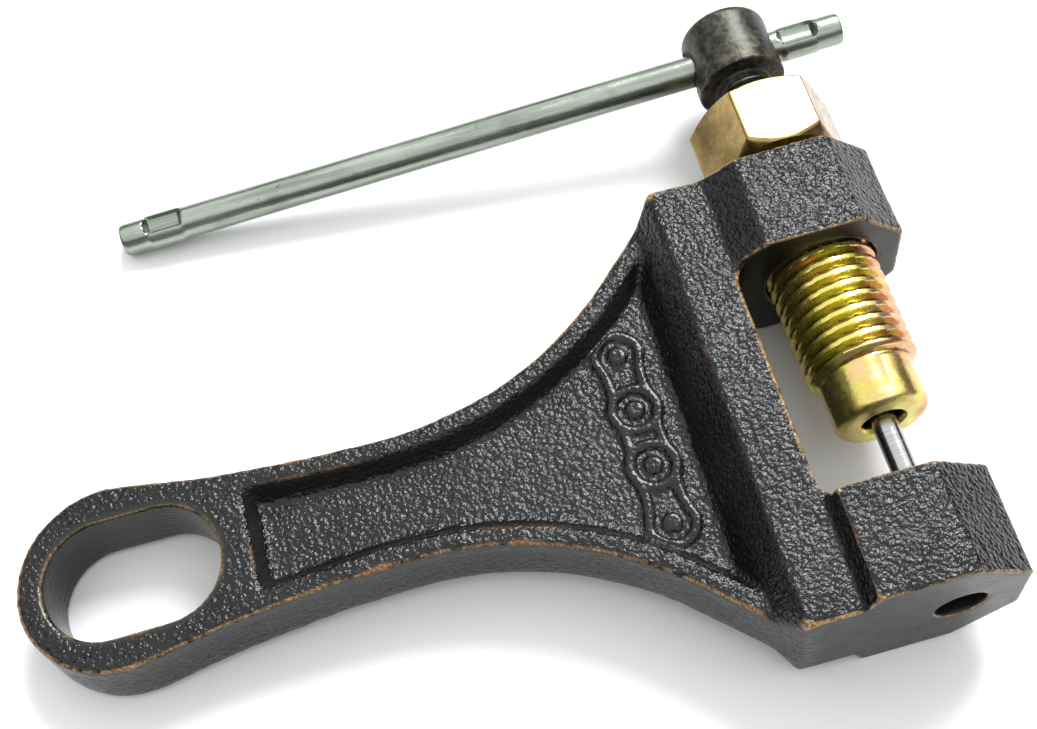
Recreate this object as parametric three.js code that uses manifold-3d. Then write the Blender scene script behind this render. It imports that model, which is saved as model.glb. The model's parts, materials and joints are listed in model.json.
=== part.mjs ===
// Screw-type chain tool for motorcycle and bicycle chains, in millimetres, +Z up.
//
// A flat cast frame carries a spine with two jaws: a threaded boss and an anvil. A hollow hex
// press bolt screws through the boss and clamps the chain against the anvil. Inside it runs a
// drive screw, turned by a sliding tommy bar, which pushes a stepped extractor pin out of the
// bolt's tip and into the anvil's hole. A return spring pulls the pin back.
//
// The pieces are drawn in tool coordinates: the screw axis is the Y axis, Y = 0 is the anvil's
// seat, and Z = 0 is the frame's middle plane. The handle runs towards -X. The whole tool is
// then placed so that the origin lies on the boss's bottom flat, right under the screw axis.

import * as THREE from 'three';
import Module from 'manifold-3d';
import { mergeVertices } from 'three/addons/utils/BufferGeometryUtils.js';

const wasm = await Module();
wasm.setup();

// ---------------------------------------------------------------- driving dimensions

// Clearances
const RUNNING_GAP = 0.3; // between a turning or sliding piece and what holds it
const SEAT_GAP = 0.3; // between two faces that bear on each other
const OVERCUT = 2; // how far a cutting shape runs past the face that it cuts
const JOIN = 1; // how far one length of a solid runs into the next

// Head of the frame
const ANVIL_LENGTH = 15.5;
const JAW_GAP = 36.3;
const BOSS_LENGTH = 15;
const HEAD_HALF = 12; // half thickness of the boss and of the anvil
const END_FACE_HALF = 5.4; // half height of the upright end face of each jaw
const SPINE_WIDTH = 7.7;
const SPINE_HALF = 9.1; // half thickness of the spine
const JAW_DEPTH = 13.5; // from the screw axis to the inside wall of the spine
const JAW_FILLET = 3;
const BOSS_FLAT_IN = 8.7; // the boss's top flat, from the axis towards the handle
const BOSS_FLAT_OUT = 5;
const BOSS_REACH = 11.6; // from the axis to the boss's end face
const ANVIL_FLAT_IN = 12.2;
const ANVIL_FLAT_OUT = 0.7;
const ANVIL_REACH = 8.7;
const ANVIL_HOLE_RADIUS = 3.5;

// Handle
const HANDLE_LENGTH = 96.9; // from the back of the spine to the far end of the eye
const EYE_RADIUS = 13.15;
const NECK_HALF_WIDTH = 9.2;
const NECK_TO_SPINE = 44.8; // from the narrowest place of the neck to the back of the spine
const FLARE_RADIUS = 49.4;
const RIM_HALF = 5.4; // half thickness of the rim round the handle
const RIM_WIDTH = 2.7;
const WEB_HALF = 2.5; // half thickness of the sunk web
const WALL_RUN = 1.6; // how far the rim's inner wall leans out over its height
const FLANGE_RUN = 5; // how far the spine's back leans out down to the web
const EYE_TO_POCKET = 18.6; // from the eye's centre to the start of the sunk web
const SLOT_RADIUS = 8.3;
const SLOT_LENGTH = 24;
const SLOT_END_WALL = 3.6; // metal left between the slot and the end of the handle

// Press bolt
const BOLT_RADIUS = 7.9; // M16 crest
const BOLT_PITCH = 2;
const THREAD_DEPTH_SHARE = 0.6134; // of the pitch, for a metric thread
const THREAD_STATIONS = [0, 1 / 8, 7 / 16, 11 / 16]; // crest, crest, root, root in one pitch
const CORE_RELIEF = 0.5; // how much thinner the bolt's core is inside its thread
const TIP_GAP = 11.7; // from the anvil's seat to the bolt's tip
const TIP_LENGTH = 6.8;
const TIP_EDGE = 1.3;
const TIP_BORE_LENGTH = 8.8;
const HEX_FLATS = 19;
const HEX_LENGTH = 11;
const HEX_LIFT = 2.7; // gap between the boss and the hex head
const HEX_TURN = THREE.MathUtils.degToRad(3);
const HEX_TOP_CHAMFER = THREE.MathUtils.degToRad(30);
const HEX_BASE_CHAMFER = THREE.MathUtils.degToRad(45);

// Drive screw
const SCREW_RADIUS = 5; // M10 crest
const SCREW_CHAMFER = 1;
const HUB_RADIUS = 6.8;
const HUB_LENGTH = 11;
const HUB_LIFT = 6.3; // gap between the hex head and the hub
const HUB_EDGE = 1.2; // rounding of the hub's top edge
const HUB_CHAMFER = 0.4;

// Extractor pin
const NOSE_RADIUS = 1.8;
const NOSE_DEPTH = 2; // how far the nose stands in the anvil's hole
const NOSE_CHAMFER = 0.5;
const GUIDE_RADIUS = 2.7;
const GUIDE_INSET = 5.8; // from the bolt's tip to the guide's front end
const PIN_HEAD_RADIUS = 4.6;
const PIN_HEAD_LENGTH = 3;

// Return spring
const SPRING_SPAN = 11.5; // room between the bolt's shoulder and the pin's head
const SPRING_WIRE_RADIUS = 0.45;
const SPRING_MEAN_RADIUS = 4;
const SPRING_TURNS = 5.5;

// Tommy bar
const BAR_RADIUS = 2.5;
const BAR_LONG_REACH = 98.4; // from the hub's centre to the end over the handle
const BAR_SHORT_REACH = 17.4;
const BAR_END_LENGTH = 3.6; // round stub outside the crimp
const CRIMP_LENGTH = 6.6;
const CRIMP_DEPTH = 0.9;
const CRIMP_WING = 0.5; // how far the squeezed metal stands out at each side
const BAR_CHAMFER = 0.4;

// Facets of round shapes
const FINE_SIDES = 48;
const HUB_SIDES = 32;
const SMALL_SIDES = 24;
const ARC_STEPS = 12;
const EDGE_STEPS = 4;
const SPRING_STEPS = 12; // in each turn
const WIRE_SEGMENTS = 3; // in each half of the wire's section
const MERGE_DISTANCE = 1e-4;

// ---------------------------------------------------------------- derived places

const spineBack = -JAW_DEPTH - SPINE_WIDTH;
const spineMiddle = -JAW_DEPTH - SPINE_WIDTH / 2;
const bossBase = JAW_GAP;
const bossTop = JAW_GAP + BOSS_LENGTH;
const headHalfWidth = (ANVIL_LENGTH + JAW_GAP + BOSS_LENGTH) / 2;
const handleAxis = bossTop - headHalfWidth;
const handleEnd = spineBack - HANDLE_LENGTH;
const eyeCentre = handleEnd + EYE_RADIUS;
const neckX = spineBack - NECK_TO_SPINE;

const bossBoreRadius = BOLT_RADIUS + RUNNING_GAP;
const screwBoreRadius = SCREW_RADIUS + RUNNING_GAP;
const tipBoreRadius = GUIDE_RADIUS + RUNNING_GAP;
const crossBoreRadius = BAR_RADIUS + RUNNING_GAP;

const threadDepth = THREAD_DEPTH_SHARE * BOLT_PITCH;
const boltRootRadius = BOLT_RADIUS - threadDepth;
const boltShoulder = TIP_GAP + TIP_BORE_LENGTH;
const hexBase = bossTop + HEX_LIFT;
const hexTop = hexBase + HEX_LENGTH;
const hexCorner = HEX_FLATS / Math.sqrt(3);

const hubBase = hexTop + HUB_LIFT;
const hubMiddle = hubBase + HUB_LENGTH / 2;
const pinHeadFront = boltShoulder + SPRING_SPAN;
const pinHeadBack = pinHeadFront + PIN_HEAD_LENGTH;
const screwFront = pinHeadBack + SEAT_GAP;

// The tool lies on the inner edge of the anvil's flat and on the end of the eye, and the long
// end of the bar lies on the same table.
const tableSlope = (HEAD_HALF - RIM_HALF) / (-ANVIL_FLAT_IN - handleEnd);
const tableDepthAtBarEnd = RIM_HALF + tableSlope * (-BAR_LONG_REACH - handleEnd);
const barTilt = Math.asin((tableDepthAtBarEnd - BAR_RADIUS) / BAR_LONG_REACH);

// ---------------------------------------------------------------- geometry helpers

/** Turns a closed triangle mesh into a solid that can be cut and joined. */
function solidOf(geometry) {
  const bare = geometry.clone();
  bare.deleteAttribute('normal');
  bare.deleteAttribute('uv');
  const merged = mergeVertices(bare, MERGE_DISTANCE);
  const vertProperties = new Float32Array(merged.attributes.position.array);
  const triVerts = new Uint32Array(merged.index.array);
  return new wasm.Manifold(new wasm.Mesh({ numProp: 3, vertProperties, triVerts }));
}

/** Turns a solid back into a triangle mesh. */
function geometryOf(solid) {
  const mesh = solid.getMesh();
  const geometry = new THREE.BufferGeometry();
  geometry.setAttribute('position', new THREE.BufferAttribute(mesh.vertProperties, 3));
  geometry.setIndex(new THREE.BufferAttribute(mesh.triVerts, 1));
  geometry.computeVertexNormals();
  return geometry;
}

/** A shape drawn in X and Y, standing from zLow to zHigh. */
function plate(shape, zLow, zHigh) {
  const options = { depth: zHigh - zLow, bevelEnabled: false, curveSegments: ARC_STEPS };
  const geometry = new THREE.ExtrudeGeometry(shape, options);
  geometry.translate(0, 0, zLow);
  return solidOf(geometry);
}

/** A shape drawn in X and Z, running from yLow to yHigh. */
function bar(shape, yLow, yHigh) {
  const options = { depth: yHigh - yLow, bevelEnabled: false, curveSegments: ARC_STEPS };
  const geometry = new THREE.ExtrudeGeometry(shape, options);
  geometry.rotateX(Math.PI / 2);
  geometry.translate(0, yHigh, 0);
  return solidOf(geometry);
}

/** A solid of revolution about the Y axis, from [radius, y] pairs given from low y to high. */
function turned(profile, sides) {
  const points = profile.map(([radius, y]) => new THREE.Vector2(radius, y));
  return solidOf(new THREE.LatheGeometry(points, sides));
}

/** A plain cylinder about the Y axis. */
function rod(radius, yLow, yHigh, sides) {
  return turned([[0, yLow], [radius, yLow], [radius, yHigh], [0, yHigh]], sides);
}

/** A closed polygon through [x, y] pairs. */
function polygon(pairs) {
  return new THREE.Shape(pairs.map(([x, y]) => new THREE.Vector2(x, y)));
}

/** Quarter of a circle as [radius, y] pairs that round the outer edge of a turned piece. */
function roundedEdge(radius, edge, y, direction) {
  const pairs = [];
  for (let step = 0; step <= EDGE_STEPS; step += 1) {
    const angle = (step / EDGE_STEPS) * (Math.PI / 2);
    const out = radius - edge + edge * Math.sin(angle);
    pairs.push([out, y + direction * edge * (1 - Math.cos(angle))]);
  }
  return direction > 0 ? pairs : pairs.reverse();
}

/**
 * A rod with a helical ridge: the surface follows the helix, with a crest, a flank, a root and a
 * flank in every pitch, and both ends are closed by a fan about the axis.
 */
function threadedRod(crest, root, pitch, turns, yStart, sides) {
  const radii = [crest, crest, root, root];
  const perPitch = THREAD_STATIONS.length;
  const rows = turns * perPitch;
  const positions = [];
  const indices = [];
  const vertex = (side, row) => {
    const climbed = side === sides ? row + perPitch : row;
    return climbed * sides + (side % sides);
  };
  for (let row = 0; row <= rows + perPitch; row += 1) {
    const lap = Math.floor(row / perPitch);
    const station = row % perPitch;
    for (let side = 0; side < sides; side += 1) {
      const angle = (side / sides) * 2 * Math.PI;
      const y = yStart + pitch * (lap + THREAD_STATIONS[station] + side / sides);
      positions.push(radii[station] * Math.sin(angle), y, radii[station] * Math.cos(angle));
    }
  }
  for (let row = 0; row < rows; row += 1) {
    for (let side = 0; side < sides; side += 1) {
      const low = vertex(side, row);
      const lowNext = vertex(side + 1, row);
      const high = vertex(side, row + 1);
      const highNext = vertex(side + 1, row + 1);
      indices.push(low, lowNext, high, lowNext, highNext, high);
    }
  }
  const bottom = positions.length / 3;
  const top = bottom + 1;
  positions.push(0, yStart, 0);
  positions.push(0, yStart + pitch * (turns + 1), 0);
  for (let side = 0; side < sides; side += 1) {
    indices.push(bottom, vertex(side + 1, 0), vertex(side, 0));
    indices.push(top, vertex(side, rows), vertex(side + 1, rows));
  }
  for (let step = 0; step < perPitch; step += 1) {
    indices.push(bottom, vertex(0, step), vertex(0, step + 1));
    indices.push(top, vertex(0, rows + step + 1), vertex(0, rows + step));
  }
  const geometry = new THREE.BufferGeometry();
  geometry.setAttribute('position', new THREE.Float32BufferAttribute(positions, 3));
  geometry.setIndex(indices);
  return solidOf(geometry);
}

// ---------------------------------------------------------------- frame

/**
 * Outline of the handle, moved inwards by inset: the eye's arc, a long hollow taper to the neck,
 * and a flare that runs straight on to the corners of the spine. It ends inside the spine.
 */
function handleOutline(inset, startX) {
  const neck = NECK_HALF_WIDTH;
  const reach = neckX - eyeCentre;
  const taperRadius = (reach ** 2 + neck ** 2 - EYE_RADIUS ** 2) / (2 * (EYE_RADIUS - neck));
  const taperY = neck + taperRadius;
  const flareY = neck + FLARE_RADIUS;
  const eyeAngle = Math.atan2(taperY, reach);

  const cornerX = NECK_TO_SPINE;
  const cornerY = headHalfWidth - flareY;
  const toCorner = Math.atan2(cornerY, cornerX);
  const flareEnd = toCorner - Math.acos(FLARE_RADIUS / Math.hypot(cornerX, cornerY));

  const halfPoints = [];
  const arc = (x, y, radius, from, to) => {
    for (let step = 0; step <= ARC_STEPS; step += 1) {
      const angle = from + ((to - from) * step) / ARC_STEPS;
      halfPoints.push([x + radius * Math.cos(angle), y + radius * Math.sin(angle)]);
    }
  };
  arc(eyeCentre, 0, EYE_RADIUS - inset, Math.PI, eyeAngle);
  arc(neckX, taperY, taperRadius + inset, eyeAngle - Math.PI, -Math.PI / 2);
  arc(neckX, flareY, FLARE_RADIUS + inset, -Math.PI / 2, flareEnd);
  const lineAngle = flareEnd + Math.PI / 2;
  const [lastX, lastY] = halfPoints[halfPoints.length - 1];
  halfPoints.push([spineBack, lastY + (spineBack - lastX) * Math.tan(lineAngle)]);
  halfPoints.push([spineMiddle, halfPoints[halfPoints.length - 1][1]]);

  const kept = halfPoints.filter(([x]) => x >= startX);
  if (kept.length < halfPoints.length) {
    kept.unshift([startX, kept[0][1]]);
  }
  const upper = kept.map(([x, y]) => [x, handleAxis + y]);
  const lower = kept.map(([x, y]) => [x, handleAxis - y]).reverse();
  return polygon([...lower, ...upper]);
}

/** The sunk panel on one side of the handle, with its leaning walls, as a cutting shape. */
function webPocket(side) {
  const floor = handleOutline(RIM_WIDTH + WALL_RUN, eyeCentre + EYE_TO_POCKET + WALL_RUN);
  const options = {
    depth: OVERCUT,
    bevelEnabled: true,
    bevelThickness: RIM_HALF - WEB_HALF,
    bevelSize: WALL_RUN,
    bevelSegments: 1,
    curveSegments: ARC_STEPS,
  };
  const geometry = new THREE.ExtrudeGeometry(floor, options);
  geometry.translate(0, 0, RIM_HALF);
  const pocket = solidOf(geometry);
  return side > 0 ? pocket : pocket.rotate([180, 0, 0]).translate([0, 2 * handleAxis, 0]);
}

/** The slot in the eye: a round end, two straight sides and a round end. */
function hangingSlot() {
  const slot = new THREE.Shape();
  const outer = handleEnd + SLOT_END_WALL + SLOT_RADIUS;
  const inner = outer + SLOT_LENGTH - 2 * SLOT_RADIUS;
  slot.absarc(outer, handleAxis, SLOT_RADIUS, Math.PI / 2, (3 * Math.PI) / 2, false);
  slot.absarc(inner, handleAxis, SLOT_RADIUS, -Math.PI / 2, Math.PI / 2, false);
  return slot;
}

/** The leaning back of the spine, down to the web, kept inside the handle's outline. */
function spineFlange() {
  const section = polygon([
    [spineMiddle, -SPINE_HALF],
    [spineMiddle, SPINE_HALF],
    [spineBack, SPINE_HALF],
    [spineBack - FLANGE_RUN, WEB_HALF],
    [spineBack - FLANGE_RUN, -WEB_HALF],
    [spineBack, -SPINE_HALF],
  ]);
  const outline = plate(handleOutline(0, -Infinity), -SPINE_HALF, SPINE_HALF);
  return bar(section, -ANVIL_LENGTH, bossTop).intersect(outline);
}

/** The spine and the roots of both jaws, with a fillet in each inside corner. */
function spine() {
  const shape = new THREE.Shape();
  const rootX = -JAW_DEPTH + JAW_FILLET;
  shape.moveTo(spineBack, -ANVIL_LENGTH);
  shape.lineTo(rootX, -ANVIL_LENGTH);
  shape.lineTo(rootX, 0);
  shape.absarc(rootX, JAW_FILLET, JAW_FILLET, -Math.PI / 2, -Math.PI, true);
  shape.lineTo(-JAW_DEPTH, bossBase - JAW_FILLET);
  shape.absarc(rootX, bossBase - JAW_FILLET, JAW_FILLET, Math.PI, Math.PI / 2, true);
  shape.lineTo(rootX, bossTop);
  shape.lineTo(spineBack, bossTop);
  return plate(shape, -SPINE_HALF, SPINE_HALF);
}

/** One jaw: an eight-sided block that grows out of the spine. */
function jaw(flatIn, flatOut, reach, yLow, yHigh) {
  const upper = [
    [-flatIn, HEAD_HALF],
    [-JAW_DEPTH, SPINE_HALF],
    [spineMiddle, SPINE_HALF],
  ];
  const outer = [
    [flatOut, HEAD_HALF],
    [reach, END_FACE_HALF],
  ];
  const lower = upper.map(([x, z]) => [x, -z]).reverse();
  const outerLow = outer.map(([x, z]) => [x, -z]);
  return bar(polygon([...upper, ...lower, ...outerLow, ...outer.reverse()]), yLow, yHigh);
}

function toolFrame() {
  const handle = plate(handleOutline(0, -Infinity), -RIM_HALF, RIM_HALF);
  const slot = plate(hangingSlot(), -RIM_HALF - OVERCUT, RIM_HALF + OVERCUT);
  const boss = jaw(BOSS_FLAT_IN, BOSS_FLAT_OUT, BOSS_REACH, bossBase, bossTop);
  const anvil = jaw(ANVIL_FLAT_IN, ANVIL_FLAT_OUT, ANVIL_REACH, -ANVIL_LENGTH, 0);
  const bossBore = rod(bossBoreRadius, bossBase - OVERCUT, bossTop + OVERCUT, FINE_SIDES);
  const anvilHole = rod(ANVIL_HOLE_RADIUS, -ANVIL_LENGTH - OVERCUT, OVERCUT, SMALL_SIDES);
  return handle
    .subtract(webPocket(1))
    .subtract(webPocket(-1))
    .subtract(slot)
    .add(spineFlange())
    .add(spine())
    .add(boss)
    .add(anvil)
    .subtract(bossBore)
    .subtract(anvilHole);
}

// ---------------------------------------------------------------- screws

/** Hex head: a six-sided prism with its corners turned off at both ends. */
function hexHead() {
  const corners = [];
  for (let corner = 0; corner < 6; corner += 1) {
    const angle = (corner * Math.PI) / 3 - HEX_TURN;
    corners.push([hexCorner * Math.cos(angle), hexCorner * Math.sin(angle)]);
  }
  const prism = bar(polygon(corners), hexBase, hexTop);
  const faceRadius = HEX_FLATS / 2;
  const wide = hexCorner + OVERCUT;
  const blank = turned([
    [0, hexBase],
    [faceRadius, hexBase],
    [wide, hexBase + (wide - faceRadius) * Math.tan(HEX_BASE_CHAMFER)],
    [wide, hexTop - (wide - faceRadius) * Math.tan(HEX_TOP_CHAMFER)],
    [faceRadius, hexTop],
    [0, hexTop],
  ], FINE_SIDES);
  return prism.intersect(blank);
}

function pressBolt() {
  const threadStart = TIP_GAP + TIP_LENGTH;
  // The helix runs on past both ends of the thread, and its sloping ends are cut off.
  const turns = Math.ceil((hexBase - threadStart) / BOLT_PITCH) + 2;
  const helixStart = threadStart - 1.5 * BOLT_PITCH;
  const helix = threadedRod(BOLT_RADIUS, boltRootRadius, BOLT_PITCH, turns, helixStart, SMALL_SIDES);
  const thread = helix.intersect(rod(BOLT_RADIUS + OVERCUT, threadStart, hexBase + JOIN, SMALL_SIDES));
  const core = turned([
    [0, TIP_GAP],
    ...roundedEdge(boltRootRadius, TIP_EDGE, TIP_GAP, 1),
    [boltRootRadius, threadStart + JOIN - CORE_RELIEF],
    [boltRootRadius - CORE_RELIEF, threadStart + JOIN],
    [boltRootRadius - CORE_RELIEF, hexBase + JOIN],
    [0, hexBase + JOIN],
  ], SMALL_SIDES);
  const tipBore = rod(tipBoreRadius, TIP_GAP - OVERCUT, boltShoulder + JOIN, SMALL_SIDES);
  const screwBore = rod(screwBoreRadius, boltShoulder, hexTop + OVERCUT, SMALL_SIDES);
  return core.add(thread).add(hexHead()).subtract(tipBore).subtract(screwBore);
}

function driveScrew() {
  const blank = turned([
    [0, screwFront],
    [SCREW_RADIUS - SCREW_CHAMFER, screwFront],
    [SCREW_RADIUS, screwFront + SCREW_CHAMFER],
    [SCREW_RADIUS, hubBase],
    [HUB_RADIUS - HUB_CHAMFER, hubBase],
    [HUB_RADIUS, hubBase + HUB_CHAMFER],
    ...roundedEdge(HUB_RADIUS, HUB_EDGE, hubBase + HUB_LENGTH, -1),
    [0, hubBase + HUB_LENGTH],
  ], HUB_SIDES);
  const reach = HUB_RADIUS + OVERCUT;
  const crossBore = rod(crossBoreRadius, -reach, reach, SMALL_SIDES)
    .rotate([0, 0, -90])
    .rotate([0, -THREE.MathUtils.radToDeg(barTilt), 0])
    .translate([0, hubMiddle, 0]);
  return blank.subtract(crossBore);
}

function extractorPin() {
  const nose = -NOSE_DEPTH;
  const guideFront = TIP_GAP + GUIDE_INSET;
  return turned([
    [0, nose],
    [NOSE_RADIUS - NOSE_CHAMFER, nose],
    [NOSE_RADIUS, nose + NOSE_CHAMFER],
    [NOSE_RADIUS, guideFront - (GUIDE_RADIUS - NOSE_RADIUS)],
    [GUIDE_RADIUS, guideFront],
    [GUIDE_RADIUS, pinHeadFront],
    [PIN_HEAD_RADIUS, pinHeadFront],
    [PIN_HEAD_RADIUS, pinHeadBack],
    [0, pinHeadBack],
  ], SMALL_SIDES);
}

/** Centre line of the compression spring, about the Y axis. */
class SpringPath extends THREE.Curve {
  getPoint(t, target = new THREE.Vector3()) {
    const low = boltShoulder + SEAT_GAP + SPRING_WIRE_RADIUS;
    const high = pinHeadFront - SEAT_GAP - SPRING_WIRE_RADIUS;
    const angle = t * SPRING_TURNS * 2 * Math.PI;
    const x = SPRING_MEAN_RADIUS * Math.sin(angle);
    const z = SPRING_MEAN_RADIUS * Math.cos(angle);
    return target.set(x, low + (high - low) * t, z);
  }
}

function returnSpring() {
  const wire = new THREE.Shape();
  wire.absarc(0, 0, SPRING_WIRE_RADIUS, 0, 2 * Math.PI, false);
  const options = {
    steps: Math.round(SPRING_TURNS * SPRING_STEPS),
    curveSegments: WIRE_SEGMENTS,
    extrudePath: new SpringPath(),
    bevelEnabled: false,
  };
  return solidOf(new THREE.ExtrudeGeometry(wire, options));
}

// ---------------------------------------------------------------- tommy bar

/** The squeezed stretch near one end of the bar: flats above and below, wings at the sides. */
function crimp(low) {
  const high = low + CRIMP_LENGTH;
  const flatHeight = BAR_RADIUS - CRIMP_DEPTH;
  const ramp = CRIMP_DEPTH;
  const notch = [
    [low, BAR_RADIUS + OVERCUT],
    [low, BAR_RADIUS],
    [low + ramp, flatHeight],
    [high - ramp, flatHeight],
    [high, BAR_RADIUS],
    [high, BAR_RADIUS + OVERCUT],
  ];
  const notchUnder = notch.map(([x, z]) => [x, -z]).reverse();
  const wing = [
    [low + ramp, -BAR_RADIUS - CRIMP_WING],
    [high - ramp, -BAR_RADIUS - CRIMP_WING],
    [high, 0],
    [high - ramp, BAR_RADIUS + CRIMP_WING],
    [low + ramp, BAR_RADIUS + CRIMP_WING],
    [low, 0],
  ];
  const reach = BAR_RADIUS + OVERCUT;
  const cuts = [notch, notchUnder].map((pairs) => bar(polygon(pairs), -reach, reach));
  return { cuts, wings: plate(polygon(wing), -flatHeight / 2, flatHeight / 2) };
}

/** The bar lies along X about its own origin, which is the hub's centre. */
function tommyBar() {
  const left = -BAR_LONG_REACH;
  const right = BAR_SHORT_REACH;
  const round = turned([
    [0, left],
    [BAR_RADIUS - BAR_CHAMFER, left],
    [BAR_RADIUS, left + BAR_CHAMFER],
    [BAR_RADIUS, right - BAR_CHAMFER],
    [BAR_RADIUS - BAR_CHAMFER, right],
    [0, right],
  ], SMALL_SIDES).rotate([0, 0, -90]);
  const crimps = [crimp(left + BAR_END_LENGTH), crimp(right - BAR_END_LENGTH - CRIMP_LENGTH)];
  let result = round;
  for (const { cuts, wings } of crimps) {
    result = result.subtract(cuts[0]).subtract(cuts[1]).add(wings);
  }
  return result;
}

// ---------------------------------------------------------------- materials and assembly

function finish(color, roughness, metalness) {
  return new THREE.MeshStandardMaterial({ color, roughness, metalness });
}

const blackCasting = finish(0x1c1c1d, 0.62, 0.35);
const yellowZinc = finish(0xb59a45, 0.28, 0.95);
const darkSteel = finish(0x4a4a48, 0.42, 0.85);
const brightZinc = finish(0xa9b0a8, 0.34, 0.9);
const groundSteel = finish(0xb9bcc0, 0.2, 1);
const springSteel = finish(0x8d8f92, 0.3, 1);

const tool = new THREE.Group();
tool.position.set(0, -(bossBase + BOSS_LENGTH / 2), HEAD_HALF);

function addPiece(name, solid, material, parent = tool) {
  const mesh = new THREE.Mesh(geometryOf(solid), material);
  mesh.name = name;
  parent.add(mesh);
}

addPiece('tool_frame', toolFrame(), blackCasting);
addPiece('press_bolt', pressBolt(), yellowZinc);
addPiece('drive_screw', driveScrew(), darkSteel);
addPiece('extractor_pin', extractorPin(), groundSteel);
addPiece('return_spring', returnSpring(), springSteel);

const barSeat = new THREE.Group();
barSeat.position.set(0, hubMiddle, 0);
barSeat.rotation.y = -barTilt;
tool.add(barSeat);
addPiece('tommy_bar', tommyBar(), brightZinc, barSeat);

const group = new THREE.Group();
group.add(tool);

export default group;
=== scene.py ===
"""Looks of a screw-type chain tool: a black cast frame, a yellow zinc press bolt, a dark drive screw
with its tommy bar, and the steel pin and spring inside them, lying on a white table.

Lengths named with _MM are in millimetres. The screw axis runs along Y, and the frame's middle plane
is the height at which that axis lies.
"""

import json
import math

import bmesh
import bpy
import numpy as np
from mathutils import Euler, Matrix, Vector


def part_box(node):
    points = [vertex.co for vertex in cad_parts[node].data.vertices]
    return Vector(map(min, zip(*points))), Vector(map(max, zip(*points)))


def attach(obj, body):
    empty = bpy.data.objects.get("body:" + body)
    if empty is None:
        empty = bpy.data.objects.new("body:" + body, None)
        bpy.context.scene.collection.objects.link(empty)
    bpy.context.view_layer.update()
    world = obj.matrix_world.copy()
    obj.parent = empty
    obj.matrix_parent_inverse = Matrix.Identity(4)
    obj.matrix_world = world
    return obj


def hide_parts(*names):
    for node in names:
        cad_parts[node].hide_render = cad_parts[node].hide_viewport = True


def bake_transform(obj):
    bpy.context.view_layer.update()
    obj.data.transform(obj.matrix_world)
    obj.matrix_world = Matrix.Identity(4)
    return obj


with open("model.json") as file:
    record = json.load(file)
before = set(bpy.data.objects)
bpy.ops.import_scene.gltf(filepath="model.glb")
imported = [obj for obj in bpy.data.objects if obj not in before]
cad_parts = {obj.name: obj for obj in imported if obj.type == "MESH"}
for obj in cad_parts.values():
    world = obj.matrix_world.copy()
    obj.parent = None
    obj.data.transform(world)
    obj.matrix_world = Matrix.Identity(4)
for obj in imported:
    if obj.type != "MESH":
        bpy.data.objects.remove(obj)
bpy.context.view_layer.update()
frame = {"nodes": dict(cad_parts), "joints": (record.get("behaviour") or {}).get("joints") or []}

# ---------------------------------------------------------------- sizes

MM = 0.001

# Head and handle of the casting
HEAD_HALF_MM = 12.0
RIM_HALF_MM = 5.4
WEB_HALF_MM = 2.5
SPINE_BACK_X_MM = -21.2
ANVIL_SEAT_Y_MM = -43.8
ANVIL_END_Y_MM = -59.3
BOSS_BASE_Y_MM = -7.5
BOSS_TOP_Y_MM = 7.5
BOSS_BORE_MM = 8.2
ANVIL_HOLE_MM = 3.5
HANDLE_AXIS_Y_MM = -25.9
SLOT_FAR_X_MM = -106.2
SLOT_NEAR_X_MM = -98.8
SLOT_RADIUS_MM = 8.3
FOOT_X_MM = -12.2

# Cast surface
VOXEL_MM = 0.32
HEAD_SMOOTHING = 4
HANDLE_SMOOTHING = 12
CURVATURE_REACH = 14
PEBBLE_CELLS_MM = (0.95, 0.62)
PEBBLE_HEIGHTS_MM = (0.036, 0.026)
SWELL_CELL_MM = 7.0
SWELL_HEIGHT_MM = 0.12

# Raised chain emblem on the web
EMBLEM_X_MM = -32.0
EMBLEM_PITCH_MM = 8.6
EMBLEM_EYES = 4
EMBLEM_EYE_MM = 3.2
EMBLEM_WAIST_MM = 2.3
EMBLEM_PIN_MM = 1.35
EMBLEM_LINE_MM = 0.68
EMBLEM_HEIGHT_MM = 0.55

# Press bolt
BOLT_CREST_MM = 7.9
BOLT_ROOT_MM = 6.67
BOLT_PITCH_MM = 2.0
TIP_LENGTH_MM = 6.8
TIP_EDGE_MM = 1.5
TIP_BORE_MM = 3.0
TIP_BORE_FLARE_MM = 0.35
THREAD_STEP_MM = 0.1
TIP_BORE_LENGTH_MM = 8.8
SCREW_BORE_MM = 5.3
HEX_FLATS_MM = 19.0
HEX_LENGTH_MM = 11.0
HEX_TURN = math.radians(3)
HEX_TOP_CHAMFER = math.radians(30)
HEX_BASE_CHAMFER = math.radians(45)
HEX_CORNER_POWER = 110
HEX_EDGE_MM = 0.1

# Drive screw
STEM_CREST_MM = 4.9
STEM_ROOT_MM = 4.05
STEM_PITCH_MM = 1.5
STEM_NECK_MM = 1.2
HUB_RADIUS_MM = 6.8
HUB_LENGTH_MM = 11.0
HUB_EDGE_MM = 1.6
CROSS_BORE_MM = 2.8

# Pin and spring
NOSE_MM = 1.8
GUIDE_MM = 2.7
GUIDE_START_MM = 19.5
PIN_HEAD_MM = 4.6
PIN_HEAD_LENGTH_MM = 3.0
SPRING_MEAN_MM = 4.0
SPRING_WIRE_MM = 0.45
SPRING_TURNS = 6.5

# Tommy bar
BAR_RADIUS_MM = 2.5
BAR_LONG_MM = 98.4
BAR_SHORT_MM = 17.4
BAR_STUB_MM = 3.6
CRIMP_LENGTH_MM = 6.6
CRIMP_DEPTH_MM = 1.45
CRIMP_HALF_WIDTH_MM = 1.5
CRIMP_WING_MM = 0.25

# View, as the tool lies on its table
CAMERA_PLACE = (-0.05431, -0.11287, 0.20761)
CAMERA_TURN = tuple(math.radians(a) for a in (27.691, 5.226, -14.773))
CAMERA_LENS = 54.39
CAMERA_SENSOR = 36.0

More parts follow.
